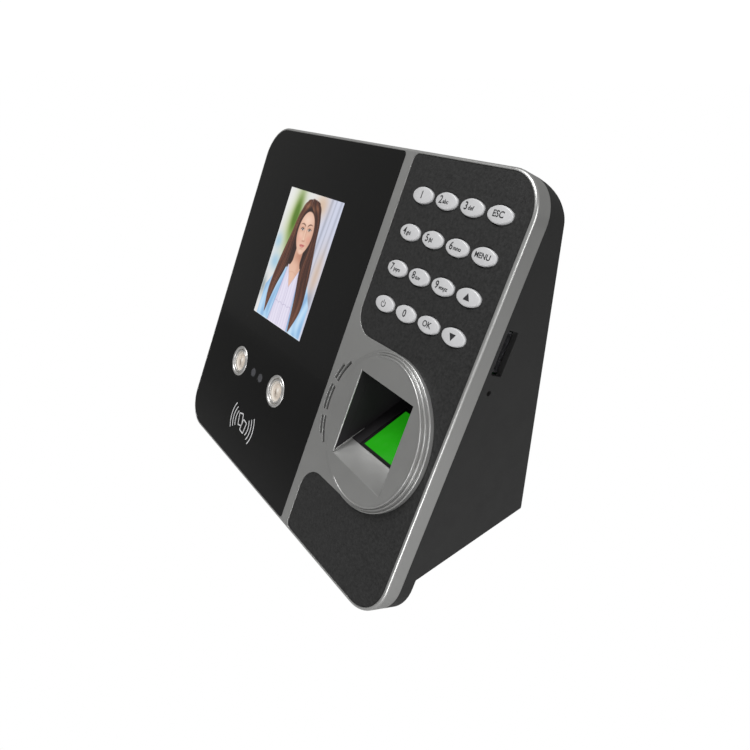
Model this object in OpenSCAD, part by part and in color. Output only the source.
// Wall-mounted fingerprint and face terminal: a wide, thin front slab that leans
// back, on a wedge-shaped housing that hangs on a steel wall plate.
//
// Room frame: X to the right, Y into the wall, Z up. The wall is the plane y = 0
// and the origin is the middle of the wall-screw pattern.
// Face frame, used inside on_face(): x to the right, y up the sloping face and
// z out of it, from the middle of the face.

/* [Case] */
// Width of the front face
face_w = 167.5; // [166:0.5:205]
// Height of the front face, measured up its slope
face_h = 149; // [148:0.5:180]
// Lean of the face back from the vertical, in degrees
face_tilt = 22.5; // [20:0.5:30]
// Radius of the four corners of the face
corner_r = 14; // [8:0.5:20]
// Depth of the bright band round the face
band_d = 6.2; // [5.6:0.1:8]
// Depth of the whole slab, bright band and dark rim together
slab_d = 11.5; // [11:0.1:15]
// Radius on the front edge of the bright band
edge_r = 1; // [0.6:0.1:1.6]
// Radius of the slab's rear edge along its foot
foot_r = 3.5; // [1:0.5:5]
// Radius where the rear wall runs into the top
crown_r = 9; // [3:0.5:12]
// Distance from the top edge of the face down to where the rear wall leaves the slab
top_drop = 4.1; // [3:0.1:8]
// Distance from the bottom edge of the face up to where the underside starts
foot_rise = 17.4; // [14:0.1:22]
// Slope of the underside, rising towards the wall, in degrees
under_rise = 10.6; // [5:0.1:15]
// Radius on the upright rear edges of the shell
rear_edge_r = 1.6; // [0.8:0.1:2]
// Wall thickness of the rear shell
shell_wall = 2.2; // [1.8:0.1:2.8]
// Wall thickness of the bright band
band_wall = 2.2; // [1.8:0.1:2.8]
// Thickness of the front frame's plate
plate_t = 3; // [2.8:0.1:3.4]
// Thickness of the tongue that lines the shell up inside the band
tongue_t = 1.2; // [0.8:0.1:1.6]
// Height of that tongue
tongue_h = 1.6; // [1:0.1:2]

/* [Front panels] */
// Width of the bright rim round the two panels
rim_w = 1.1; // [1:0.1:2]
// Left edge of the bright strip between the panels, from the middle of the face
strip_a = 19.1; // [17:0.1:21]
// Width of the bright strip
strip_w = 4.6; // [4:0.1:5]
// Thickness of the black glossy panel
gloss_t = 2; // [1.8:0.1:2.2]
// Thickness of the grained keypad panel
grain_t = 1.4; // [1.2:0.1:1.7]
// How far the keypad panel lies below the bright strip
grain_sink = 0.2; // [0:0.1:0.4]
// Corner radius of the glossy panel beside the strip
gloss_r = 1.7; // [0.5:0.1:3]
// Corner radius of the keypad panel beside the strip
grain_r = 2.5; // [0.5:0.1:4]
// Radius where the strip widens into the reader's collar
neck_r = 9.5; // [6:0.5:12]

/* [Display] */
// Width of the picture
screen_w = 43.2; // [40:0.1:46]
// Height of the picture
screen_h = 57.6; // [54:0.1:60]
// Middle of the picture, right of the middle of the face
screen_a = -29.4; // [-32:0.1:-27]
// Middle of the picture, above the middle of the face
screen_b = 21.4; // [20:0.1:22]
// Border of the display module beside the picture
lcd_side = 3.4; // [3:0.1:4]
// Border of the display module above and below the picture
lcd_end = 5.8; // [5:0.1:6]
// Thickness of the display module
lcd_t = 3; // [2:0.1:3.2]
// Thickness of the adhesive gasket round the picture
gasket_t = 0.3; // [0.2:0.1:0.5]

/* [Lamps and cameras] */
// Middle of the lamp row, right of the middle of the face
lamp_a = -31.5; // [-33:0.1:-30]
// Height of the lamp row above the middle of the face
lamp_b = -32; // [-33:0.1:-31]
// Distance between the two face lamps
lamp_pitch = 36.3; // [34:0.1:40]
// Outer radius of a lamp's bright ring
lamp_r = 7; // [6:0.1:7.5]
// Width of that ring
lamp_ring_w = 1.5; // [1:0.1:2]
// Height of the ring above the glossy panel
lamp_proud = 0.3; // [0:0.1:0.8]
// Depth of a lamp behind the face
lamp_d = 5.4; // [5:0.1:5.6]
// Distance between the two camera windows
lens_pitch = 6.8; // [6.6:0.1:8]
// Radius of a camera window
lens_r = 1.9; // [1.5:0.1:2.1]

/* [Keys] */
// Middle of the top left key, right of the middle of the face
key_a = 35.45; // [35:0.05:36]
// Middle of the top left key, above the middle of the face
key_b = 60.25; // [59:0.05:61]
// Distance between key columns
key_pitch_a = 11.9; // [11.7:0.05:12]
// Distance between key rows
key_pitch_b = 12.75; // [11:0.05:12.9]
// Length of a key, tip to tip
key_l = 10.2; // [8:0.1:10.4]
// Height of a key
key_h = 5.6; // [4.5:0.1:6.5]
// Radius of a key's two tips
key_tip_r = 1.8; // [0.8:0.1:2]
// How far a key stands above the face
key_proud = 0.8; // [0.6:0.1:1.6]
// Travel of a key
key_travel = 0.8; // [0.5:0.1:0.9]
// Gap round a key in its hole
key_gap = 0.3; // [0.25:0.05:0.4]
// Thickness of the flange that keeps a key in
key_flange_t = 1; // [0.8:0.1:1.2]
// How far the flange reaches past the key
key_flange = 0.8; // [0.6:0.1:0.9]
// Gap kept between the flanges of neighbouring keys
flange_apart = 0.5; // [0.4:0.1:0.6]
// Thickness of the rubber mat between its domes
mat_t = 0.7; // [0.5:0.1:0.8]
// Height of a dome on the mat
dome_h = 0.5; // [0.3:0.1:0.6]
// Border of the mat and keypad board beyond the outer key centres
keypad_edge = 6.6; // [6.5:0.1:7]

/* [Fingerprint reader] */
// Middle of the reader's collar, right of the middle of the face
ring_a = 52.6; // [52:0.1:53]
// Middle of the collar, above the middle of the face
ring_b = -18.7; // [-20:0.1:-18]
// Outer radius of the collar
ring_r = 27.5; // [27:0.1:28.5]
// Radius of the raised disc
disc_r = 25.8; // [25:0.1:26.5]
// Height of the disc at its left edge
disc_low = 0.15; // [0.1:0.05:1]
// Height of the disc at its right edge
disc_high = 3.9; // [2:0.1:5]
// Side of the square finger recess
recess_s = 32.4; // [30:0.1:33]
// Slope of the finger ramp down from the face, in degrees
ramp_slope = 45; // [42:1:47]
// Depth of the recess behind the face
recess_d = 24.5; // [22:0.1:26]
// Height above the face where the ramp starts
ramp_top = 0.5; // [0.1:0.1:1]
// Length of the bright lower part of the ramp
lip_len = 8.8; // [8:0.1:9.5]
// Wall thickness of the reader's cup
cup_wall = 1.8; // [1.4:0.1:2]
// Side of the square glass window
glass_s = 20; // [16:0.1:21]
// Width of the black seal round the glass
seal_w = 1.2; // [0.8:0.1:1.4]
// Thickness of the glass block
glass_t = 4.5; // [3:0.1:6]
// How far the glass lies below the ramp
glass_sink = 0.4; // [0.2:0.1:0.6]
// Depth of the optical unit behind the cup
optic_d = 11; // [9:0.5:12]

/* [Speaker] */
// Middle of the speaker, right of the middle of the face
speaker_a = 18; // [17:0.1:19]
// Radius of the speaker
speaker_r = 13; // [11:0.5:13.5]
// Depth of the speaker
speaker_d = 5.4; // [4:0.1:6]
// Radius of the inner row of sound slots round the collar
slot_r = 29; // [28.8:0.1:29.4]
// Distance between the two rows of sound slots
slot_step = 1.8; // [1.6:0.1:2.2]
// Width of a sound slot
slot_w = 1.3; // [0.8:0.1:1.3]

/* [Wall plate] */
// Width of the wall plate
wall_plate_w = 120; // [110:1:130]
// Height of the wall plate
wall_plate_h = 84; // [76:1:90]
// Thickness of the wall plate
wall_plate_t = 1.6; // [1.2:0.1:1.8]
// Distance between wall screws across
wall_screw_x = 90; // [80:1:94]
// Distance between wall screws up and down
wall_screw_z = 56; // [50:1:60]
// Radius of a wall screw hole
wall_hole_r = 2.5; // [2:0.1:3]
// Depth of the shell's recess for the plate
plate_recess = 2; // [1.8:0.1:2.2]
// Distance of each hook from the middle line
hook_x = 30; // [26:1:32]
// Height of the upper hooks above the origin, and of the lower ones below it
hook_z = 26; // [22:1:30]
// Width of a hook
hook_w = 8; // [6:0.5:9]

/* [Sockets] */
// Length of the slot for a memory stick, up the right side
usb_slot_l = 14.4; // [13.4:0.1:15]
// Width of that slot
usb_slot_w = 4.8; // [4.6:0.1:5.2]
// Middle of the slot, above the middle of the face
usb_b = 22.8; // [22:0.1:24]
// Depth of the slot's middle behind the face
usb_w = 10.2; // [10.2:0.1:11]
// Distance of the reset pinhole below the slot's middle
reset_drop = 12.9; // [12.5:0.1:14]
// Radius of the reset pinhole
pinhole_r = 0.9; // [0.6:0.1:1.2]
// Travel of the reset button
reset_travel = 0.5; // [0.3:0.1:0.6]
// Travel of the tamper plunger
tamper_travel = 1; // [0.6:0.1:1.5]
// Width of the network jack
net_w = 16; // [15:0.1:16.5]
// Depth of the network jack, wall side to face side
net_d = 13.5; // [13:0.1:14]
// Height of the network jack
net_h = 18; // [17:0.1:19]
// Number of ways in the terminal block
term_ways = 5; // [4:1:5]
// Distance between the ways
term_pitch = 3.8; // [3.5:0.1:4]

/* [Circuit boards] */
// Thickness of every board
board_t = 1.6; // [1.2:0.1:1.6]
// Thickness of the thin keypad board
thin_board_t = 1; // [0.8:0.1:1.2]
// Depth of the main board's front behind the face
main_w = 13; // [13:0.1:14]
// Right edge of the main board
main_right = 26; // [25:0.5:27]
// Left edge of the main board
main_left = -70; // [-72:0.5:-68]
// Top edge of the main board
main_top = 42; // [41:0.5:43]
// Bottom edge of the main board
main_foot = -50; // [-52:0.5:-48]
// Width of the backup battery
battery_l = 50; // [40:1:54]
// Height of the backup battery
battery_h = 34; // [30:1:36]
// Thickness of the backup battery
battery_t = 6; // [5:0.5:7]

/* [Hidden] */

$fn = 64;
// Reach of a cut past the surface that it opens
past = 1;
// How far bosses and posts grow into the wall they stand on
root = 0.5;
// Gap between a flat part and the pocket that it lies in
lay_gap = 0.1;
// Radius gap between a small moving pin and its hole
pin_gap = 0.1;
// Gap between a screw and its hole
screw_gap = 0.05;

// ---- where the face stands in the room ----
st = sin(face_tilt);
ct = cos(face_tilt);
half_w = face_w / 2;
half_h = face_h / 2;
rear_top = [half_h - top_drop, -slab_d];
under_start = [-half_h + foot_rise, -slab_d];
rear_dir = [-ct, -st];
rear_out = [st, -ct];
under_dir = [sin(face_tilt + under_rise), -cos(face_tilt + under_rise)];
under_out = [-cos(face_tilt + under_rise), -sin(face_tilt + under_rise)];
heel = meet(rear_top, rear_dir, under_start, under_dir);
face_y = rear_top[0] * st - rear_top[1] * ct;
face_z = -((rear_top[0] + heel[0]) * ct + (rear_top[1] + heel[1]) * st) / 2;
heel_z = face_z + heel[0] * ct + heel[1] * st;

// ---- depths behind the face, all negative ----
plate_back = -plate_t;
flange_top = plate_back - 0.15;
flange_back = flange_top - key_flange_t;
dome_top = flange_back - key_travel - 0.05;
mat_front = dome_top - dome_h;
mat_back = mat_front - mat_t;
keypad_back = mat_back - thin_board_t;
gasket_back = -gloss_t - gasket_t;
lcd_back = gasket_back - lcd_t;
lamp_board_front = -lamp_d - 0.2;
lamp_board_back = lamp_board_front - thin_board_t;
main_back = -main_w - board_t;

// ---- screws ----
case_screw_r = 1.45;
case_head_r = 2.8;
case_head_t = 1.8;
case_shank = 5.8;
case_seat = -9.2;
case_boss_end = -7.4;
case_boss_r = 3.4;
case_inset = 9.5;
case_spots = [
    [-half_w + case_inset, half_h - case_inset], [strip_a + strip_w / 2, half_h - case_inset + 1],
    [-half_w + case_inset, -half_h + case_inset], [strip_a + strip_w / 2, -half_h + case_inset],
    [half_w - case_inset, -half_h + case_inset]
];
small_screw_r = 1;
small_shank = 3.6;
small_head_r = 1.9;
small_head_t = 1.1;
post_inset = 4;
main_post_r = 3;
main_screw_depth = 7;
plug_a = main_right - 14;
plug_b = main_foot + 12;
plug_pitch = 9;
plug_t = 2.4;
main_x = [main_left + post_inset, main_right - post_inset];
main_y = [main_foot + post_inset, main_top - post_inset];
main_spots = [for (x = main_x, y = main_y) [x, y]];
keypad_spots = [for (c = [0.5, 2.5], r = [0.5, 2.5]) [key_a + c * key_pitch_a, key_b - r * key_pitch_b]];
keypad_post_r = 1.9;
cup_spots = [for (x = [-12, 12], y = [-1, 1]) [ring_a + x, ring_b + y * (recess_s / 2 + cup_wall + 3)]];

// ---- reader ----
lip_b = ring_b - recess_s / 2;
brow_b = ring_b + recess_s / 2;
ramp_run = (ramp_top + recess_d) / tan(ramp_slope);
disc_steps = 3;
lip_t = 2;
lug_r = 2.8;
lug_t = 2;
optic_l = glass_s + 2 * seal_w;
optic_w = optic_l + 5;

// ---- side sockets ----
usb_shell_l = 14;
usb_shell_b = 13.2;
usb_shell_w = 5.6;
usb_tip = half_w - shell_wall - 0.2;
side_board_front = -usb_w - usb_shell_w / 2 - 0.1;
side_board_back = side_board_front - thin_board_t;
reset_b = usb_b - reset_drop;
reset_body = 6;
reset_r = 1;
side_spots = [for (y = [usb_b - 18.5, usb_b + 10.5]) [usb_tip - 5, y]];

// ---- rear sockets and tamper switch, in the room frame ----
sock_board_y = -8;
sock_board_front = sock_board_y - board_t;
sock_face_z = heel_z + 0.2;
net_x = -58;
jack_w = 9;
jack_d = 11;
jack_h = 14;
jack_x = net_x + net_w + 3;
term_x = jack_x + jack_w + 2.5;
term_w = term_ways * term_pitch + 1;
term_d = 9;
term_h = 10;
sock_left = net_x - 1;
sock_right = term_x + term_w + 1;
sock_screw_x = [sock_left + post_inset, sock_right - post_inset];
sock_screw_z = sock_face_z + net_h + 2.4;
sock_board_top = sock_screw_z + 2.6;
sock_cut_y = sock_board_front - net_d - 1;
tamper_x = 50;
tamper_z = 14;
tamper_r = 1.8;
tamper_body = 8;
tamper_body_front = -6;
tamper_body_d = 5;
tamper_board_front = tamper_body_front - tamper_body_d - thin_board_t;
tamper_screw_x = [tamper_x - 7, tamper_x + 7];
inner_rear_y = -4.4;
hook_finger = 4;
lock_tab_y = -10;
lock_tab_t = 1.6;
lock_tab_w = 12;
lock_tab_z = -wall_plate_h / 2 - lock_tab_t;
lock_y = lock_tab_y + 4;
lock_seat_z = lock_tab_z - 4;
head_pocket_r = 5.5;
head_pocket_y = 5;
head_cup_wall = 1.3;
hook_slot_h = wall_plate_t + hook_finger + 1;
hook_blank = 9;

// Crossing of the line through p along d with the line through q along e
function meet(p, d, q, e) = p + d * ((q[0] - p[0]) * e[1] - (q[1] - p[1]) * e[0]) / (d[0] * e[1] - d[1] * e[0]);

// ---------------------------------------------------------------- shared shapes

// Places things that are given in the face frame
module on_face() {
    translate([0, -face_y, face_z]) rotate([90 - face_tilt, 0, 0]) children();
}

// Extrudes a side profile, given as distance up the face and height above it, across the face
module across(width, middle = 0) {
    translate([middle, 0, 0]) rotate([90, 0, 90]) linear_extrude(width, center = true) children();
}

// Places things on the finger ramp: y runs down the ramp and z stands out of it
module on_ramp() {
    translate([ring_a, lip_b, ramp_top]) rotate([-ramp_slope, 0, 0]) children();
}

// The bit outside a rounded corner at the origin of a shape that lies towards +x and +y
module corner_bit(r) {
    difference() {
        translate([-past, -past]) square(r + past);
        translate([r, r]) circle(r);
    }
}

// Rectangle from p to q with one radius for its left corners and one for its right corners
module plaque(p, q, left_r, right_r) {
    difference() {
        translate(p) square(q - p);
        for (y = [0, 1]) {
            translate([p[0], y ? q[1] : p[1]]) mirror([0, y]) corner_bit(left_r);
            translate([q[0], y ? q[1] : p[1]]) mirror([0, y]) mirror([1, 0]) corner_bit(right_r);
        }
    }
}

// Rounded rectangle about the origin
module rounded(w, h, r) {
    plaque([-w / 2, -h / 2], [w / 2, h / 2], r, r);
}

// Plate between two depths
module layer(front, back) {
    translate([0, 0, back]) linear_extrude(front - back) children();
}

// Block with one rounded edge at each side of its front, as a cross-section
module soft_section(w, d, e) {
    translate([-w / 2, -d]) square([w, d - e]);
    translate([-w / 2 + e, -d]) square([w - 2 * e, d]);
    for (x = [-1, 1]) translate([x * (w / 2 - e), -e]) circle(e);
}

// Slab with round corners and a rounded front edge, its face at z = 0
module soft_slab(w, h, d, r, e) {
    rotate([90, 0, 0]) linear_extrude(h - 2 * r, center = true) soft_section(w, d, e);
    across(w - 2 * r) soft_section(h, d, e);
    for (x = [-1, 1], y = [-1, 1]) translate([x * (w / 2 - r), y * (h / 2 - r), -d]) rotate_extrude() {
        square([r, d - e]);
        square([r - e, d]);
        translate([r - e, d - e]) circle(e);
    }
}

// Leaf-shaped oval: two long arcs that run into a small round tip at each end, grown by a margin
module oval(l, h, grow = 0) {
    tip_x = l / 2 - key_tip_r;
    arc_r = (tip_x * tip_x + h * h / 4 - key_tip_r * key_tip_r) / (h - 2 * key_tip_r);
    join_x = tip_x * arc_r / (arc_r - key_tip_r) * (arc_r + grow) / arc_r;
    intersection() {
        translate([0, h / 2 - arc_r]) circle(arc_r + grow);
        translate([0, arc_r - h / 2]) circle(arc_r + grow);
        square([2 * join_x, 2 * h], center = true);
    }
    for (x = [-tip_x, tip_x]) translate([x, 0]) circle(key_tip_r + grow);
}

// Cuts the corner p between the edges that leave it along d and e, to a radius
module corner_cut(p, d, e, r) {
    half = acos(d * e) / 2;
    inward = (d + e) / norm(d + e);
    middle = p + inward * r / sin(half);
    difference() {
        polygon([p - inward * 0.2, p + d * r / tan(half), middle, p + e * r / tan(half)]);
        translate(middle) circle(r);
    }
}

// Screw with a pan head: its shank runs from z = 0 up, its head hangs below
module screw(shank_r, shank_l, head_r, head_t) {
    difference() {
        union() {
            cylinder(h = shank_l, r = shank_r);
            translate([0, 0, -head_t]) cylinder(h = head_t, r = head_r);
        }
        for (turn = [0, 90]) translate([0, 0, -head_t]) rotate([0, 0, turn])
            cube([head_r * 1.1, head_r * 0.28, head_t], center = true);
    }
}

// ---------------------------------------------------------------- outlines on the face

module gloss_outline(gap) {
    edge = rim_w + gap;
    plaque([-half_w + edge, -half_h + edge], [strip_a - gap, half_h - edge], corner_r - edge, gloss_r);
}

module keyhole_outline(gap) {
    left = strip_a + strip_w + gap;
    reach = ring_r + gap;
    translate([ring_a, ring_b]) circle(reach);
    translate([left - past, ring_b - reach]) square([ring_a - left + past, 2 * reach]);
    for (upper = [0, 1]) translate([left, ring_b + (2 * upper - 1) * reach]) mirror([0, 1 - upper])
        corner_bit(neck_r);
}

module grain_outline(gap) {
    edge = rim_w + gap;
    difference() {
        plaque([strip_a + strip_w + gap, -half_h + edge], [half_w - edge, half_h - edge], grain_r, corner_r - edge);
        keyhole_outline(gap);
    }
}

module each_key() {
    for (r = [0:3], c = [0:3]) translate([key_a + c * key_pitch_a, key_b - r * key_pitch_b]) children();
}

module keypad_outline() {
    low = [key_a - keypad_edge, key_b - 3 * key_pitch_b - keypad_edge + 0.6];
    high = [key_a + 3 * key_pitch_a + keypad_edge, key_b + keypad_edge - 0.6];
    plaque(low, high, 1.5, 1.5);
}

module display_spot() {
    translate([screen_a, screen_b]) children();
}

module each_lamp() {
    for (s = [-1, 1]) translate([lamp_a + s * lamp_pitch / 2, lamp_b]) children();
}

module each_lens() {
    for (s = [-1, 1]) translate([lamp_a + s * lens_pitch / 2, lamp_b]) children();
}

// ---------------------------------------------------------------- front frame

// Half-space below the tilted disc, at a share of its full height
module under_disc(share) {
    low = [ring_a - disc_r, disc_low * share];
    high = [ring_a + disc_r, disc_high * share];
    run = (high - low) / (2 * disc_r);
    start = low - run * 10;
    end = high + run * 10;
    rotate([90, 0, 0]) linear_extrude(4 * ring_r, center = true)
        polygon([[start[0], root - plate_t], [end[0], root - plate_t], end, start]);
}

module collar() {
    for (i = [1:disc_steps]) {
        r = ring_r - (ring_r - disc_r) * (i - 1) / (disc_steps - 1);
        intersection() {
            translate([ring_a, ring_b, -plate_t]) cylinder(h = plate_t + disc_high + past, r = r);
            translate([0, ring_b, 0]) under_disc(i / disc_steps);
        }
    }
}

module recess_profile() {
    polygon([
        [lip_b, disc_high + past], [lip_b, ramp_top], [lip_b + ramp_run, -recess_d],
        [brow_b, -recess_d], [brow_b, disc_high + past]
    ]);
}

// Two rows of three sound slots each, on arcs round the collar
module sound_slots() {
    spans = [[[-34, -14], [-9.5, 9.5], [14, 34]], [[-27, -14], [-9.5, 9.5], [14, 27]]];
    translate([ring_a, ring_b, -plate_t - past]) for (row = [0, 1], span = spans[row])
        rotate([0, 0, 180 + span[0]]) rotate_extrude(angle = span[1] - span[0])
            translate([slot_r + row * slot_step - slot_w / 2, 0]) square([slot_w, plate_t + 2 * past]);
}

module front_frame() {
    color([0.5, 0.5, 0.51]) on_face() difference() {
        union() {
            difference() {
                soft_slab(face_w, face_h, band_d, corner_r, edge_r);
                layer(plate_back, -band_d - past)
                    rounded(face_w - 2 * band_wall, face_h - 2 * band_wall, corner_r - band_wall);
                layer(past, -gloss_t) gloss_outline(0);
                layer(past, -grain_sink - grain_t) grain_outline(0);
                layer(past, plate_back - past) each_key() oval(key_l, key_h, key_gap);
            }
            collar();
            // bright lower part of the finger ramp
            on_ramp() translate([-recess_s / 2 + lay_gap, 1, -lip_t])
                cube([recess_s - 2 * lay_gap, lip_len - lay_gap - 1, lip_t]);
            for (p = case_spots) translate([p[0], p[1], case_boss_end])
                cylinder(h = plate_back - case_boss_end + root, r = case_boss_r);
            for (p = main_spots) translate([p[0], p[1], -main_w]) cylinder(h = main_w - plate_t + root, r = main_post_r);
            for (p = keypad_spots) translate([p[0], p[1], mat_back])
                cylinder(h = plate_back - mat_back + root, r = keypad_post_r);
        }
        across(recess_s, ring_a) recess_profile();
        sound_slots();
        layer(past, plate_back - past) display_spot()
            rounded(screen_w + 2 * lcd_side + 0.6, screen_h + 2 * lcd_end + 0.6, 1);
        layer(past, plate_back - past) each_lamp() circle(lamp_r + lay_gap);
        layer(past, plate_back - past) each_lens() circle(lens_r + lay_gap);
        for (p = case_spots) translate([p[0], p[1], case_boss_end - past])
            cylinder(h = plate_back - case_boss_end + past, r = case_screw_r + screw_gap);
        for (p = main_spots) translate([p[0], p[1], -main_w - past])
            cylinder(h = main_screw_depth + past, r = case_screw_r + screw_gap);
        for (p = keypad_spots) translate([p[0], p[1], mat_back - past])
            cylinder(h = plate_back - mat_back + past, r = small_screw_r + screw_gap);
        for (p = cup_spots) translate([p[0], p[1], plate_back - past])
            cylinder(h = plate_t - 0.8 + past, r = small_screw_r + screw_gap);
    }
}

// ---------------------------------------------------------------- panels and display

module gloss_panel() {
    color([0.07, 0.07, 0.075]) on_face() layer(0, -gloss_t) difference() {
        gloss_outline(lay_gap);
        display_spot() square([screen_w + 2 * lay_gap, screen_h + 2 * lay_gap], center = true);
        each_lamp() circle(lamp_r + lay_gap);
        each_lens() circle(lens_r + lay_gap);
    }
}

module display_window() {
    color([0.2, 0.22, 0.25, 0.5]) on_face() layer(0, -gloss_t) display_spot() square([screen_w, screen_h], center = true);
}

module display_gasket() {
    color([0.1, 0.1, 0.1]) on_face() layer(-gloss_t, gasket_back) display_spot() difference() {
        square([screen_w + 2 * lcd_side, screen_h + 2 * lcd_end], center = true);
        square([screen_w, screen_h], center = true);
    }
}

// Metal frame with its glass set in, flush with the gasket
module display_module() {
    color([0.55, 0.57, 0.6]) on_face() display_spot() {
        layer(gasket_back, lcd_back) rounded(screen_w + 2 * lcd_side, screen_h + 2 * lcd_end, 0.8);
        layer(lcd_back, lcd_back - 0.4) translate([0, -lcd_end]) square([screen_w * 0.7, screen_h * 0.6], center = true);
    }
}

module keypad_panel() {
    color([0.19, 0.19, 0.2]) on_face() layer(-grain_sink, -grain_sink - grain_t) difference() {
        grain_outline(lay_gap);
        each_key() oval(key_l, key_h, key_gap);
    }
}

// ---------------------------------------------------------------- keys

// One key: a low crowned cap on a flange that keeps it in the panel
module key(column, row) {
    crown = 0.45;
    dome_r = key_l * key_l / 8 / crown;
    color([0.82, 0.82, 0.83]) on_face() translate([key_a + column * key_pitch_a, key_b - row * key_pitch_b, 0]) {
        intersection() {
            layer(key_proud + past, flange_top) oval(key_l, key_h);
            // a wide dome that takes the edge off the cap
            translate([0, 0, key_proud - dome_r]) sphere(r = dome_r, $fn = 96);
        }
        layer(flange_top, flange_back) intersection() {
            oval(key_l, key_h, key_flange);
            square([key_pitch_a - flange_apart, 2 * key_h], center = true);
        }
    }
}

module key_1() { key(0, 0); }
module key_2() { key(1, 0); }
module key_3() { key(2, 0); }
module key_escape() { key(3, 0); }
module key_4() { key(0, 1); }
module key_5() { key(1, 1); }
module key_6() { key(2, 1); }
module key_menu() { key(3, 1); }
module key_7() { key(0, 2); }
module key_8() { key(1, 2); }
module key_9() { key(2, 2); }
module key_up() { key(3, 2); }
module key_power() { key(0, 3); }
module key_0() { key(1, 3); }
module key_ok() { key(2, 3); }
module key_down() { key(3, 3); }

// Rubber mat: a domed button under every key, which the key's flange meets at full travel
module keypad_mat() {
    color([0.75, 0.76, 0.78]) on_face() difference() {
        union() {
            layer(mat_front, mat_back) keypad_outline();
            each_key() translate([0, 0, mat_front - 0.1]) cylinder(h = dome_h + 0.1, r1 = 2.6, r2 = 1.9);
        }
        for (p = keypad_spots) translate([p[0], p[1], mat_back - past])
            cylinder(h = mat_t + 2 * past, r = keypad_post_r + lay_gap);
    }
}

module keypad_board() {
    color([0.1, 0.35, 0.2]) on_face() difference() {
        layer(mat_back, keypad_back) keypad_outline();
        for (p = keypad_spots) translate([p[0], p[1], keypad_back - past])
            cylinder(h = thin_board_t + 2 * past, r = small_screw_r + lay_gap);
    }
}

// ---------------------------------------------------------------- lamps and cameras

module lamp_rings() {
    half = lamp_ring_w / 2;
    color([0.75, 0.75, 0.77]) on_face() each_lamp() rotate_extrude() {
        translate([lamp_r - lamp_ring_w, -lamp_d]) square([lamp_ring_w, lamp_d + lamp_proud - half]);
        translate([lamp_r - half, lamp_proud - half]) circle(half);
    }
}

// Cream cup with a curved inner wall, open to a lens at its foot
module lamp_reflectors() {
    outer = lamp_r - lamp_ring_w - lay_gap;
    color([0.85, 0.82, 0.74]) on_face() each_lamp() rotate_extrude() difference() {
        translate([0, -lamp_d]) square([outer, lamp_d - 0.6]);
        translate([0, -lamp_d - past]) square([1.7, lamp_d + past]);
        polygon([[1.7, -lamp_d + 1.2], [2.6, -lamp_d + 1.6], [outer - 0.4, -0.6], [outer - 0.4, past], [0, past], [0, -lamp_d + 1.2]]);
    }
}

module lamp_leds() {
    color([0.9, 0.88, 0.8]) on_face() each_lamp() {
        translate([0, 0, lamp_board_front]) cylinder(h = 1.8, r = 1.6);
        translate([0, 0, lamp_board_front + 1.8]) intersection() {
            sphere(r = 1.6);
            cylinder(h = 2, r = 2);
        }
    }
}

module lamp_board() {
    color([0.1, 0.35, 0.2]) on_face() layer(lamp_board_front, lamp_board_back) difference() {
        translate([lamp_a, lamp_b]) rounded(lamp_pitch + 2 * lamp_r + 4, 2 * lamp_r + 3, 2);
        each_lens() translate([0, 5.5]) circle(1);
    }
}

module camera_windows() {
    color([0.35, 0.35, 0.38]) on_face() each_lens() translate([0, 0, -gloss_t]) cylinder(h = gloss_t - 0.1, r = lens_r);
}

// Threaded lens barrels on their square holders
module camera_barrels() {
    holder = lens_pitch - 0.6;
    color([0.12, 0.12, 0.13]) on_face() each_lens() {
        layer(lamp_board_front + 1.6, lamp_board_front) square([holder, holder], center = true);
        translate([0, 0, lamp_board_front + 1.6]) difference() {
            cylinder(h = -gloss_t - 0.2 - lamp_board_front - 1.6, r = lens_r - 0.1);
            translate([0, 0, 0.8]) cylinder(h = 3, r = lens_r - 0.7);
        }
    }
}

// ---------------------------------------------------------------- fingerprint reader

// Side profile given in the ramp's own frame: x runs down the ramp and y stands out of it
module along_ramp() {
    translate([lip_b, ramp_top]) rotate(-ramp_slope) children();
}

// Open box below the collar: side walls, brow, floor and the dark upper part of the ramp.
// A sled under the bright lip joins its lower lugs to its sides.
module reader_cup() {
    off = cup_wall / sin(ramp_slope);
    sled_l = lip_len - 0.5;
    sled_t = lip_t + lay_gap + cup_wall;
    color([0.2, 0.2, 0.21]) on_face() difference() {
        union() {
            across(recess_s + 2 * cup_wall, ring_a) {
                polygon([
                    [lip_b - off + ramp_top + plate_t, plate_back],
                    [brow_b + cup_wall, plate_back],
                    [brow_b + cup_wall, -recess_d - cup_wall],
                    [lip_b + ramp_run + cup_wall / tan(ramp_slope) - off, -recess_d - cup_wall]
                ]);
                intersection() {
                    along_ramp() translate([0, -sled_t]) square([sled_l, sled_t]);
                    translate([lip_b - ring_r, -recess_d]) square([2 * ring_r, recess_d - plate_t]);
                }
            }
            for (p = cup_spots) layer(plate_back, plate_back - lug_t) {
                translate(p) circle(lug_r);
                translate([p[0] - lug_r, min(p[1], ring_b)]) square([2 * lug_r, abs(ring_b - p[1])]);
            }
        }
        // the recess, and room for the bright lower part of its ramp
        across(recess_s, ring_a) {
            recess_profile();
            along_ramp() translate([-2 * lip_len, -lip_t - lay_gap]) square([3 * lip_len, 3 * lip_t]);
        }
        on_ramp() translate([-glass_s / 2 - seal_w, lip_len + lay_gap, -cup_wall - past])
            cube([glass_s + 2 * seal_w, glass_s + 2 * seal_w, cup_wall + 2 * past]);
        for (p = cup_spots) translate([p[0], p[1], plate_back - lug_t - past])
            cylinder(h = lug_t + 2 * past, r = small_screw_r + lay_gap);
    }
}

module reader_seal() {
    side = glass_s + 2 * seal_w;
    color([0.04, 0.04, 0.04]) on_face() on_ramp() translate([0, lip_len + lay_gap + side / 2, 0]) difference() {
        layer(-0.3, -cup_wall) square([side, side], center = true);
        layer(past, -cup_wall - past) square([glass_s, glass_s], center = true);
    }
}

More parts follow.
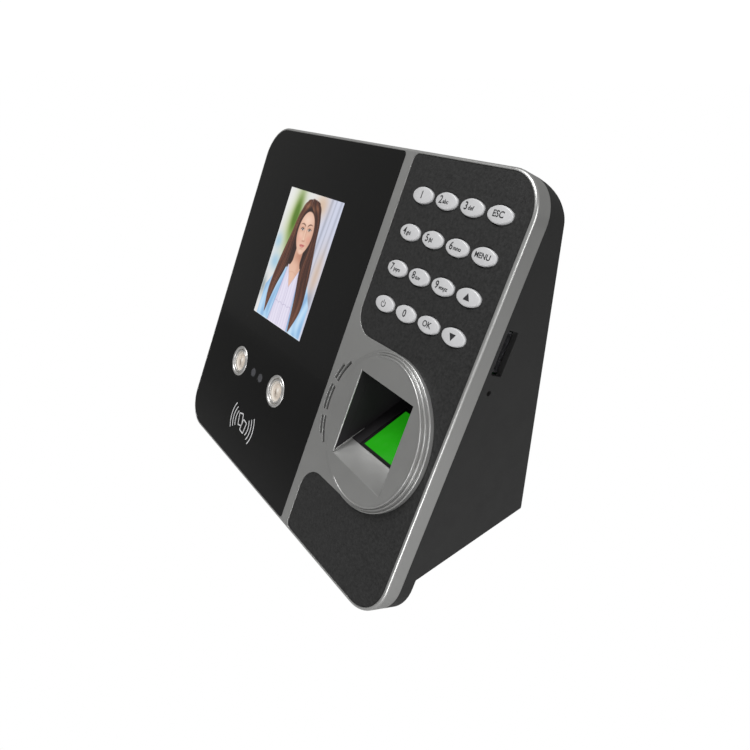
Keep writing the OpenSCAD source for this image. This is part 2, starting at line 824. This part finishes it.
module reader_glass() {
    color([0.12, 0.6, 0.06]) on_face() on_ramp() translate([0, lip_len + lay_gap + seal_w + glass_s / 2, 0])
        layer(-glass_sink, -glass_sink - glass_t) square([glass_s, glass_s], center = true);
}

module reader_optics() {
    color([0.15, 0.15, 0.16]) on_face() on_ramp() translate([0, lip_len + lay_gap + seal_w + glass_s / 2, 0]) difference() {
        layer(-cup_wall, -cup_wall - optic_d) rounded(optic_w, optic_l, 1.5);
        layer(past, -glass_sink - glass_t - 0.1) square([glass_s + 0.2, glass_s + 0.2], center = true);
        layer(past, -cup_wall - optic_d + 2) square([8, 8], center = true);
    }
}

module reader_board() {
    color([0.1, 0.35, 0.2]) on_face() on_ramp() translate([0, lip_len + lay_gap + seal_w + glass_s / 2, 0]) {
        layer(-cup_wall - optic_d, -cup_wall - optic_d - thin_board_t) rounded(optic_w, optic_l, 1);
        translate([0, 0, -cup_wall - optic_d - thin_board_t - 1.4]) cube([9, 9, 2.8], center = true);
    }
}

// ---------------------------------------------------------------- speaker and antenna

module speaker_basket() {
    color([0.3, 0.3, 0.32]) on_face() translate([speaker_a, ring_b, plate_back - 0.1 - speaker_d]) difference() {
        union() {
            translate([0, 0, speaker_d - 2]) cylinder(h = 2, r = speaker_r);
            cylinder(h = speaker_d, r = speaker_r * 0.62);
        }
        translate([0, 0, speaker_d - 1.6]) cylinder(h = 2 + past, r = speaker_r - 1);
        translate([0, 0, 1.2]) cylinder(h = speaker_d, r = speaker_r * 0.5);
    }
}

// Paper cone with a domed centre, resting in the basket
module speaker_cone() {
    color([0.08, 0.08, 0.08]) on_face() translate([speaker_a, ring_b, plate_back - 0.1 - 1.6]) rotate_extrude()
        polygon([[0, -1.2], [speaker_r * 0.45, -1.2], [speaker_r * 0.5, 0], [speaker_r - 1.1, 0],
            [speaker_r - 1.1, 0.4], [speaker_r * 0.45, 0.4], [speaker_r * 0.35, -0.6], [0, -0.2]]);
}

// Thin board with square turns of a printed loop, behind the glossy panel's foot
module card_antenna() {
    middle = [lamp_a, (lamp_b - lamp_r - 2.5 - half_h + 6) / 2];
    size = [62, lamp_b - lamp_r - 2.5 + half_h - 6];
    color([0.1, 0.35, 0.2]) on_face() translate([middle[0], middle[1], plate_back - 0.1]) {
        layer(0, -thin_board_t) square(size, center = true);
        for (i = [0:3]) layer(-thin_board_t, -thin_board_t - 0.2) difference() {
            square(size - [3, 3] * (i + 0.5), center = true);
            square(size - [3, 3] * (i + 0.5) - [1.6, 1.6], center = true);
        }
    }
}

// ---------------------------------------------------------------- main board

module main_board() {
    color([0.1, 0.35, 0.2]) on_face() {
        difference() {
            layer(-main_w, main_back) plaque([main_left, main_foot], [main_right, main_top], 2, 2);
            for (p = main_spots) translate([p[0], p[1], main_back - past])
                cylinder(h = board_t + 2 * past, r = case_screw_r + lay_gap);
        }
        // connectors and chips on the rear side
        for (i = [0:3]) layer(main_back, main_back - plug_t) translate([plug_a, plug_b + i * plug_pitch])
            square([8, 5], center = true);
        // connectors on the front side, for the display and the speaker
        layer(-main_w + 1.6, -main_w) translate([screen_a, screen_b - screen_h / 2 - lcd_end - 9])
            square([24, 4], center = true);
        layer(-main_w + 2.2, -main_w) translate([speaker_a, ring_b - speaker_r - 6]) square([8, 4], center = true);
    }
}

module processor_shield() {
    color([0.72, 0.72, 0.74]) on_face() translate([screen_a, screen_b + 4, 0]) difference() {
        layer(-main_w + 2.4, -main_w) rounded(34, 30, 1);
        layer(-main_w + 2.1, -main_w - past) rounded(33.4, 29.4, 0.8);
    }
}

module lock_relay() {
    color([0.1, 0.25, 0.6]) on_face() layer(main_back, main_back - 11) translate([plug_a, 4])
        rounded(12, 15, 0.8);
}

module coin_cell() {
    color([0.75, 0.75, 0.77]) on_face() translate([main_right - 15, 24, main_back - 3.2]) cylinder(h = 3.2, r = 8);
}

module main_screws() {
    color([0.7, 0.7, 0.72]) on_face() for (p = main_spots) translate([p[0], p[1], main_back])
        screw(case_screw_r, board_t + main_screw_depth - 1, case_head_r, case_head_t);
}

module backup_battery() {
    color([0.25, 0.45, 0.7]) on_face() translate([main_left + 12 + battery_l / 2, 2, 0]) {
        layer(main_back, main_back - 0.8) square([battery_l - 6, battery_h - 6], center = true);
        layer(main_back - 0.8, main_back - 0.8 - battery_t) rounded(battery_l, battery_h, 2.5);
    }
}

// Flat ribbon that leaves the foot of the display and turns back to the main board
module display_ribbon() {
    thin = 0.3;
    start_b = screen_b - screen_h / 2 - lcd_end;
    front = lcd_back + 1;
    bend = 2;
    end = -main_w + 1.6;
    color([0.8, 0.5, 0.2]) on_face() across(20, screen_a) {
        translate([start_b - 5, front - thin]) square([5, thin]);
        translate([start_b - 5, front - thin - bend]) difference() {
            circle(bend + thin);
            circle(bend);
            translate([0, -10]) square([10, 20]);
            translate([-10, -10]) square([20, 10]);
        }
        translate([start_b - 5 - bend - thin, end]) square([thin, front - thin - bend - end]);
    }
}

// Sleeved lead from the reader's board to a plug on the rear of the main board
module reader_lead() {
    lead_r = 1.2;
    bend = 3;
    level = main_back - 6;
    from = ring_a - optic_w / 2 - 0.4;
    color([0.15, 0.15, 0.16]) on_face() translate([0, plug_b, level]) {
        translate([plug_a + bend, 0, 0]) rotate([0, 90, 0]) cylinder(h = from - plug_a - bend, r = lead_r);
        translate([plug_a + bend, 0, bend]) rotate([90, 0, 0]) rotate([0, 0, 180]) rotate_extrude(angle = 90)
            translate([bend, 0]) circle(lead_r);
        translate([plug_a, 0, bend]) cylinder(h = main_back - plug_t - level - bend, r = lead_r);
    }
}

// ---------------------------------------------------------------- sockets on the right side

module side_board() {
    left = usb_tip - 22;
    color([0.1, 0.35, 0.2]) on_face() difference() {
        layer(side_board_front, side_board_back)
            plaque([left, side_spots[0][1] - 2.8], [usb_tip - 0.6, side_spots[1][1] + 2.8], 1.5, 1);
        for (p = side_spots) translate([p[0], p[1], side_board_back - past])
            cylinder(h = thin_board_t + 2 * past, r = small_screw_r + lay_gap);
    }
}

// Pressed metal socket with its tongue and two contact springs
module usb_port() {
    wall = 0.4;
    color([0.75, 0.75, 0.77]) on_face() translate([usb_tip - usb_shell_l, usb_b, -usb_w]) rotate([90, 0, 90]) {
        difference() {
            linear_extrude(usb_shell_l) rounded(usb_shell_b, usb_shell_w, 0.6);
            translate([0, 0, 3]) linear_extrude(usb_shell_l)
                rounded(usb_shell_b - 2 * wall, usb_shell_w - 2 * wall, 0.4);
        }
        translate([0, 0.95, 3]) linear_extrude(usb_shell_l - 4.2) square([usb_shell_b - 2.4, 1.8], center = true);
    }
}

module reset_switch() {
    low = side_board_front;
    high = -usb_w + 1.8;
    face_a = usb_tip - 3.2;
    color([0.2, 0.2, 0.22]) on_face() difference() {
        translate([face_a - reset_body, reset_b - reset_body / 2, low]) cube([reset_body, reset_body, high - low]);
        translate([face_a - 2.4, reset_b, -usb_w]) rotate([0, 90, 0]) cylinder(h = 4, r = reset_r + pin_gap);
    }
}

module reset_button() {
    face_a = usb_tip - 3.2;
    color([0.75, 0.2, 0.15]) on_face() translate([face_a - 2.4 + reset_travel + 0.1, reset_b, -usb_w])
        rotate([0, 90, 0]) cylinder(h = 4.2, r = reset_r);
}

// ---------------------------------------------------------------- sockets on the underside

module connector_board() {
    low = sock_face_z + 0.4;
    color([0.1, 0.35, 0.2]) difference() {
        translate([sock_left, sock_board_front, low]) cube([sock_right - sock_left, board_t, sock_board_top - low]);
        for (x = sock_screw_x) translate([x, 0, sock_screw_z]) rotate([90, 0, 0])
            cylinder(h = 20, r = small_screw_r + lay_gap);
    }
}

// Eight-way network jack, its mouth downwards, with the latch step on its front side
module network_jack() {
    mouth_w = 11.8;
    mouth_d = 6.9;
    deep = 12;
    color([0.7, 0.7, 0.72]) translate([net_x, sock_board_front - net_d, sock_face_z]) difference() {
        cube([net_w, net_d, net_h]);
        translate([(net_w - mouth_w) / 2, 3.4, -past]) cube([mouth_w, mouth_d, deep + past]);
        translate([(net_w - 6) / 2, 1.2, -past]) cube([6, 2.3, deep - 3 + past]);
    }
}

module power_jack() {
    middle = [jack_x + jack_w / 2, sock_board_front - jack_d / 2];
    color([0.08, 0.08, 0.08]) {
        difference() {
            translate([jack_x, sock_board_front - jack_d, sock_face_z]) cube([jack_w, jack_d, jack_h]);
            translate([middle[0], middle[1], sock_face_z - past]) cylinder(h = 10 + past, r = 3.1);
        }
        translate([middle[0], middle[1], sock_face_z + 0.6]) cylinder(h = 9.8, r = 1);
    }
}

// Screw terminals: a wire hole below and a screw well on the front of each way
module terminal_block() {
    color([0.1, 0.5, 0.25]) translate([term_x, sock_board_front - term_d, sock_face_z]) difference() {
        cube([term_w, term_d, term_h]);
        for (i = [0:term_ways - 1]) translate([0.5 + (i + 0.5) * term_pitch, 0, 0]) {
            translate([0, 4.6, 2.4]) cube([2.6, 2.8, 7], center = true);
            translate([0, 2.4, 6.4]) rotate([90, 0, 0]) cylinder(h = 4, r = 1.4);
        }
    }
}

// ---------------------------------------------------------------- tamper switch

module tamper_switch() {
    back = tamper_body_front - tamper_body_d;
    color([0.15, 0.15, 0.16]) difference() {
        union() {
            translate([tamper_x - tamper_body / 2, back, tamper_z - tamper_body / 2])
                cube([tamper_body, tamper_body_d, tamper_body]);
            translate([tamper_x - tamper_body - 1, tamper_board_front, tamper_z - 6])
                cube([2 * tamper_body + 2, thin_board_t, 12]);
        }
        translate([tamper_x, tamper_body_front + past, tamper_z]) rotate([90, 0, 0])
            cylinder(h = 4 + past, r = tamper_r + pin_gap);
        for (x = tamper_screw_x) translate([x, 0, tamper_z]) rotate([90, 0, 0])
            cylinder(h = 20, r = small_screw_r + lay_gap);
    }
}

module tamper_plunger() {
    tip = -wall_plate_t - 0.1;
    length = tip - tamper_body_front + 4 - tamper_travel - 0.1;
    color([0.9, 0.9, 0.85]) translate([tamper_x, tip, tamper_z]) rotate([90, 0, 0]) {
        translate([0, 0, 0.8]) cylinder(h = length - 0.8, r = tamper_r);
        cylinder(h = 0.8, r1 = tamper_r - 0.6, r2 = tamper_r);
    }
}

// ---------------------------------------------------------------- small and case screws

module small_screw() {
    screw(small_screw_r, small_shank, small_head_r, small_head_t);
}

// Alike screws for the keypad board, the reader's cup, both socket boards and the tamper switch
module small_screws() {
    color([0.7, 0.7, 0.72]) {
        on_face() {
            for (p = keypad_spots) translate([p[0], p[1], keypad_back]) small_screw();
            for (p = cup_spots) translate([p[0], p[1], plate_back - lug_t]) small_screw();
            for (p = side_spots) translate([p[0], p[1], side_board_front]) rotate([180, 0, 0]) small_screw();
        }
        for (x = sock_screw_x) translate([x, sock_board_front, sock_screw_z]) rotate([-90, 0, 0]) small_screw();
        for (x = tamper_screw_x) translate([x, tamper_board_front, tamper_z]) rotate([-90, 0, 0]) small_screw();
    }
}

// Five screws that hold the front frame on the rear shell, and the one that locks the shell to its plate
module case_screws() {
    color([0.7, 0.7, 0.72]) {
        on_face() for (p = case_spots) translate([p[0], p[1], case_seat])
            screw(case_screw_r, case_shank, case_head_r, case_head_t);
        translate([0, lock_y, lock_seat_z]) screw(case_screw_r, case_shank, case_head_r, case_head_t);
    }
}

// ---------------------------------------------------------------- rear shell

module outer_profile() {
    crown = meet([half_h, 0], [0, 1], rear_top, rear_dir);
    foot = [-half_h, -slab_d];
    difference() {
        polygon([[half_h, -band_d], crown, heel, under_start, foot, [-half_h, -band_d]]);
        corner_cut(crown, [0, 1], rear_dir, min(crown_r, corner_r));
        corner_cut(foot, [1, 0], [0, 1], foot_r);
        corner_cut(heel, -rear_dir, -under_dir, 1.2);
    }
}

module inner_profile() {
    rear = rear_top - rear_out * shell_wall;
    under = under_start - under_out * shell_wall;
    crown = meet([half_h - shell_wall, 0], [0, 1], rear, rear_dir);
    inner_heel = meet(rear, rear_dir, under, under_dir);
    step = meet([0, -slab_d + shell_wall], [1, 0], under, under_dir);
    polygon([
        [half_h - shell_wall, -band_d + past], crown, inner_heel, step,
        [-half_h + shell_wall, -slab_d + shell_wall], [-half_h + shell_wall, -band_d + past]
    ]);
}

module shell_outline(inset) {
    rounded(face_w - 2 * inset, face_h - 2 * inset, corner_r - inset);
}

module case_columns(r) {
    for (p = case_spots) translate([p[0], p[1], -100]) cylinder(h = 100 + case_boss_end, r = r);
}

// Cups behind the plate recess that leave room for the heads of the wall screws
module head_cups(r, deep) {
    for (x = [-1, 1], z = [-1, 1]) translate([x * wall_screw_x / 2, -deep, z * wall_screw_z / 2])
        rotate([-90, 0, 0]) cylinder(h = deep - plate_recess + 0.5, r = r);
}

// Slots that the plate's hooks pass through
module hook_slots() {
    for (x = [-1, 1], z = [-1, 1]) translate([x * hook_x - hook_w / 2 - 0.5, -30, z * hook_z + 0.2 - hook_slot_h])
        cube([hook_w + 1, 30, hook_slot_h]);
}

module rear_shell() {
    deepest = -heel[1] + 10;
    tongue_out = band_wall + 0.15;
    tongue_in = tongue_out + tongue_t;
    color([0.16, 0.16, 0.165]) difference() {
        union() {
            on_face() difference() {
                intersection() {
                    layer(-band_d, -deepest) shell_outline(0);
                    across(face_w + 2) outer_profile();
                    // rounds the upright edges beside the wall
                    in_room() translate([0, 0, -face_h]) linear_extrude(2 * face_h)
                        soft_section(face_w + 0.04, 2 * deepest, rear_edge_r);
                }
                difference() {
                    intersection() {
                        layer(-band_d + past, -deepest) shell_outline(shell_wall);
                        across(face_w + 2) inner_profile();
                    }
                    // thicker rear wall behind the plate
                    in_room() translate([-wall_plate_w / 2 - 4, inner_rear_y, -wall_plate_h / 2 - 5])
                        cube([wall_plate_w + 8, 20, wall_plate_h + 9]);
                }
            }
            // tongue that lines up inside the bright band, and the step that carries it
            on_face() difference() {
                union() {
                    layer(-band_d + tongue_h, -band_d - 1.5) shell_outline(tongue_out);
                    layer(-band_d - 0.2, -band_d - 1.5) shell_outline(shell_wall - 0.4);
                }
                layer(0, -band_d - 3) shell_outline(tongue_in);
            }
            // columns for the case screws and the boss for the lock screw
            intersection() {
                union() {
                    on_face() case_columns(case_boss_r + 1);
                    translate([0, lock_y, heel_z - 8])
                        cylinder(h = lock_tab_z - 0.3 - heel_z + 8, r = case_boss_r + 1);
                }
                on_face() across(face_w + 2) outer_profile();
            }
            // ledges for the side board
            on_face() for (p = side_spots) translate([p[0] - 3, p[1] - 2.5, side_board_back - 5])
                cube([half_w - shell_wall / 2 - p[0] + 3, 5, 5]);
            head_cups(head_pocket_r + head_cup_wall, head_pocket_y + head_cup_wall);
            // posts for the connector board and the tamper switch
            for (x = sock_screw_x) translate([x, sock_board_y, sock_screw_z]) rotate([-90, 0, 0])
                cylinder(h = inner_rear_y - sock_board_y + 0.5, r = 2.6);
            for (x = tamper_screw_x) translate([x, tamper_board_front + thin_board_t, tamper_z]) rotate([-90, 0, 0])
                cylinder(h = inner_rear_y - tamper_board_front - thin_board_t + 0.5, r = 1.9);
        }
        // plate recess
        translate([0, past, 0]) rotate([90, 0, 0]) linear_extrude(plate_recess + past)
            rounded(wall_plate_w + 1, wall_plate_h + 1, 4.5);
        translate([-lock_tab_w / 2 - 0.5, lock_tab_y - 0.5, lock_tab_z - 0.3])
            cube([lock_tab_w + 1, -lock_tab_y + past, lock_tab_t + 4]);
        head_cups(head_pocket_r, head_pocket_y);
        hook_slots();
        // lock screw: clearance hole and room for its head
        translate([0, lock_y, heel_z - 10]) cylinder(h = lock_tab_z - heel_z + 10 + past, r = case_screw_r + 0.25);
        translate([0, lock_y, heel_z - 20]) cylinder(h = lock_seat_z - heel_z + 20, r = case_head_r + 0.4);
        // case screws
        on_face() for (p = case_spots) {
            translate([p[0], p[1], -60]) cylinder(h = 60, r = case_screw_r + 0.25);
            translate([p[0], p[1], -60]) cylinder(h = 60 + case_seat, r = case_head_r + 0.4);
        }
        // memory-stick slot and reset pinhole in the right wall
        on_face() translate([half_w - shell_wall - past, usb_b, -usb_w]) rotate([90, 0, 90])
            linear_extrude(shell_wall + 2 * past) rounded(usb_slot_l, usb_slot_w, 0.5);
        on_face() translate([half_w - shell_wall - past, reset_b, -usb_w]) rotate([0, 90, 0])
            cylinder(h = shell_wall + 2 * past, r = pinhole_r);
        // room beside the tongue for the socket's front corner
        on_face() translate([usb_tip - 4, usb_b - usb_shell_b / 2 - 0.2, -usb_w])
            cube([4 + lay_gap, usb_shell_b + 0.4, usb_shell_w / 2 + 0.2]);
        // opening in the underside for the sockets
        translate([sock_left, sock_cut_y, heel_z - 20]) cube([sock_right - sock_left, sock_board_y - sock_cut_y, 24]);
        for (x = sock_screw_x) translate([x, inner_rear_y + 1, sock_screw_z]) rotate([90, 0, 0])
            cylinder(h = 10, r = small_screw_r + screw_gap);
        for (x = tamper_screw_x) translate([x, inner_rear_y + 1, tamper_z]) rotate([90, 0, 0])
            cylinder(h = 10, r = small_screw_r + screw_gap);
        translate([tamper_x, 0, tamper_z]) rotate([90, 0, 0]) cylinder(h = -inner_rear_y + past, r = tamper_r + 0.4);
        on_face() for (p = side_spots) translate([p[0], p[1], side_board_back - 4])
            cylinder(h = 5, r = small_screw_r + screw_gap);
    }
}

// Undoes on_face(), for room-frame shapes inside a face-frame group
module in_room() {
    rotate([face_tilt - 90, 0, 0]) translate([0, face_y, -face_z]) children();
}

// ---------------------------------------------------------------- wall plate

module wall_plate() {
    color([0.62, 0.63, 0.65]) difference() {
        union() {
            rotate([90, 0, 0]) linear_extrude(wall_plate_t) rounded(wall_plate_w, wall_plate_h, 4);
            // hooks: out of the plate, then up behind the shell's rear wall
            for (x = [-1, 1], z = [-1, 1]) translate([x * hook_x - hook_w / 2, 0, z * hook_z - wall_plate_t]) {
                translate([0, inner_rear_y - 0.3 - wall_plate_t, 0])
                    cube([hook_w, -inner_rear_y + 0.3 + wall_plate_t, wall_plate_t]);
                translate([0, inner_rear_y - 0.3 - wall_plate_t, 0]) cube([hook_w, wall_plate_t, wall_plate_t + hook_finger]);
            }
            // tab for the lock screw
            translate([-lock_tab_w / 2, lock_tab_y, lock_tab_z]) cube([lock_tab_w, -lock_tab_y, lock_tab_t]);
            translate([-lock_tab_w / 2, -wall_plate_t, lock_tab_z]) cube([lock_tab_w, wall_plate_t, 6]);
        }
        for (x = [-1, 1], z = [-1, 1]) translate([x * wall_screw_x / 2, past, z * wall_screw_z / 2])
            rotate([90, 0, 0]) cylinder(h = wall_plate_t + 2 * past, r = wall_hole_r);
        // windows that the hooks were bent out of
        for (x = [-1, 1], z = [-1, 1])
            translate([x * hook_x - hook_w / 2 - 0.5, -wall_plate_t - past, z * hook_z - wall_plate_t - hook_blank])
                cube([hook_w + 1, wall_plate_t + 2 * past, hook_blank]);
        translate([0, lock_y, lock_tab_z - past]) cylinder(h = lock_tab_t + 2 * past, r = case_screw_r + screw_gap);
    }
}

front_frame();
gloss_panel();
display_window();
display_gasket();
display_module();
keypad_panel();
key_1();
key_2();
key_3();
key_escape();
key_4();
key_5();
key_6();
key_menu();
key_7();
key_8();
key_9();
key_up();
key_power();
key_0();
key_ok();
key_down();
keypad_mat();
keypad_board();
lamp_rings();
lamp_reflectors();
lamp_leds();
lamp_board();
camera_windows();
camera_barrels();
reader_cup();
reader_seal();
reader_glass();
reader_optics();
reader_board();
speaker_basket();
speaker_cone();
card_antenna();
main_board();
processor_shield();
lock_relay();
coin_cell();
main_screws();
backup_battery();
display_ribbon();
reader_lead();
side_board();
usb_port();
reset_switch();
reset_button();
connector_board();
network_jack();
power_jack();
terminal_block();
tamper_switch();
tamper_plunger();
small_screws();
case_screws();
rear_shell();
wall_plate();
